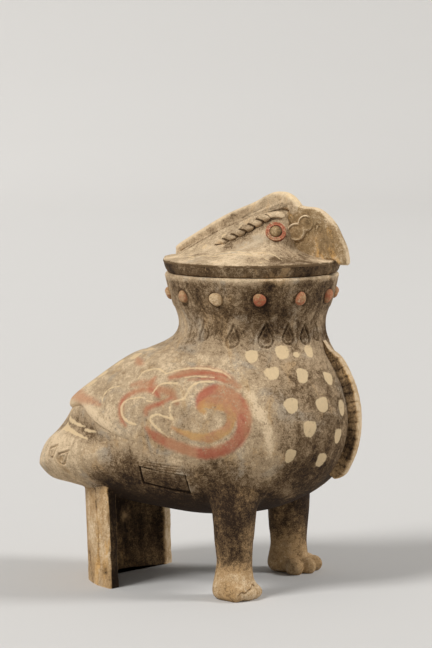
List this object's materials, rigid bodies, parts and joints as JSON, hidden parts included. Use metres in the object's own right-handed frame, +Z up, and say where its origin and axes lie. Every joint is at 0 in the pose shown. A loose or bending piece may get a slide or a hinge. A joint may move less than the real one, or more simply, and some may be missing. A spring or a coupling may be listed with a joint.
{
  "type": "lidded bird jar",
  "caption": "Earthenware jar in the form of a standing bird, with a lid shaped as its crested head, on two legs and a curved slab under the tail.",
  "frame": {"origin": "middle of the footprint on the ground, below the middle of the jar's length and width", "axes": "+X the way the bird faces, +Y its left side, +Z up"},
  "size_m": [0.2618, 0.1834, 0.3053],
  "materials": {
    "painted_clay": "matt, unglazed, worn earthenware",
    "pale_clay": "matt, unglazed, worn earthenware",
    "ochre_clay": "matt, unglazed, worn earthenware",
    "red_paint": "matt, unglazed, worn earthenware",
    "cream_paint": "matt, unglazed, worn earthenware"
  },
  "bodies": {
    "vessel": {"body_shell": "painted_clay", "flank_plug": "painted_clay", "neck_collar": "painted_clay", "collar_stud_01": "red_paint", "collar_stud_02": "red_paint", "collar_stud_03": "red_paint", "collar_stud_04": "cream_paint", "collar_stud_05": "red_paint", "collar_stud_06": "red_paint", "collar_stud_07": "red_paint", "collar_stud_08": "red_paint", "collar_stud_09": "red_paint", "collar_stud_10": "cream_paint", "collar_stud_11": "red_paint", "collar_stud_12": "red_paint", "tail_support": "ochre_clay", "chest_flange": "pale_clay", "wing_right": "painted_clay", "wing_left": "painted_clay", "leg_right": "painted_clay", "leg_left": "painted_clay"},
    "lid": {"lid_plate": "painted_clay", "lid_locating_ring": "painted_clay", "head_shell": "pale_clay", "crest": "pale_clay", "beak": "ochre_clay", "brow_rope_right": "pale_clay", "brow_rope_left": "pale_clay", "eye_ring_right": "red_paint", "eye_ring_left": "red_paint", "eye_pupil_right": "ochre_clay", "eye_pupil_left": "ochre_clay", "cere_right": "ochre_clay", "cere_left": "ochre_clay"}
  },
  "joints": [
    {"name": "lid_lift", "type": "slide", "parent": "vessel", "child": "lid", "axis": [0, 0, 1], "range_m": [0, 0.1]}
  ]
}
